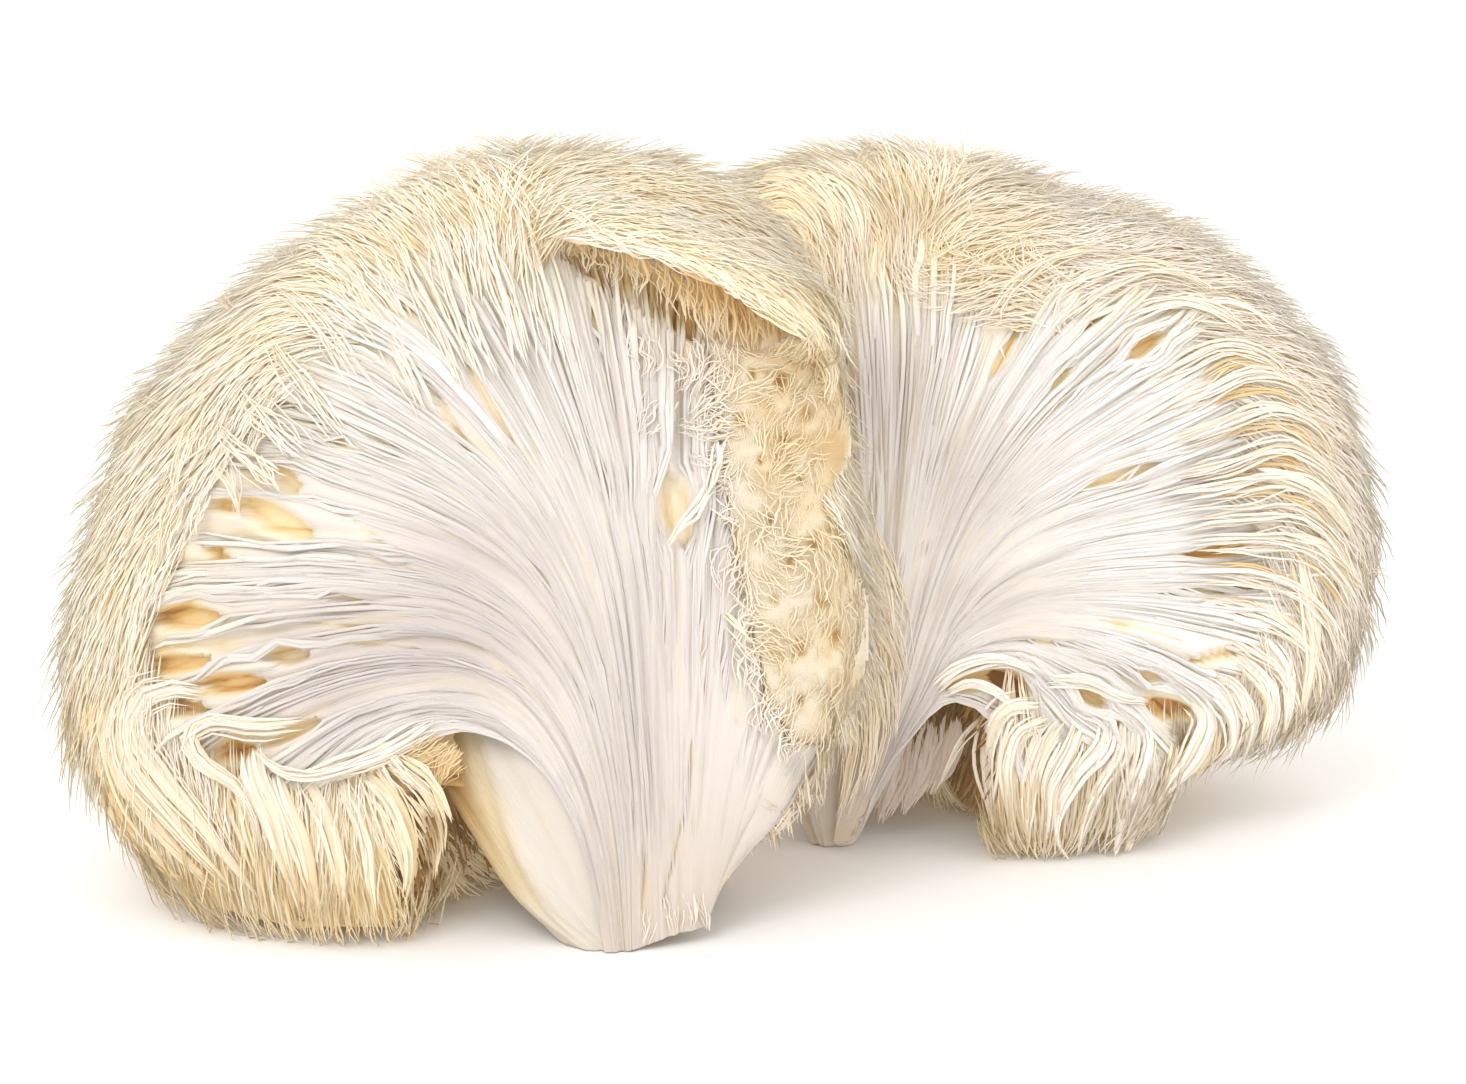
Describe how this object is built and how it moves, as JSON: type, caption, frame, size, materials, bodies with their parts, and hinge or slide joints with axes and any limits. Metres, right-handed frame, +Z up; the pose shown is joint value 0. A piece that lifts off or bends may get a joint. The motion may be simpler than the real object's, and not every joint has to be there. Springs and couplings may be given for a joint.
{
  "type": "lion's mane mushroom",
  "caption": "Cream lion's mane mushroom torn open from its stem into two joined lobes, with fibrous torn faces, hanging spines over domed backs and tapered stem halves.",
  "frame": {"origin": "middle of the footprint, on the surface that the mushroom rests on", "axes": "+X to the right along the torn faces as seen from in front of them, +Y away from the torn faces towards the domed backs, +Z up"},
  "size_m": [0.1865, 0.1011, 0.1014],
  "materials": {
    "spines_and_flesh": "soft, matt, fibrous flesh and spines, white to cream and tan"
  },
  "bodies": {
    "root": {"fruit_body": "spines_and_flesh"}
  },
  "joints": []
}
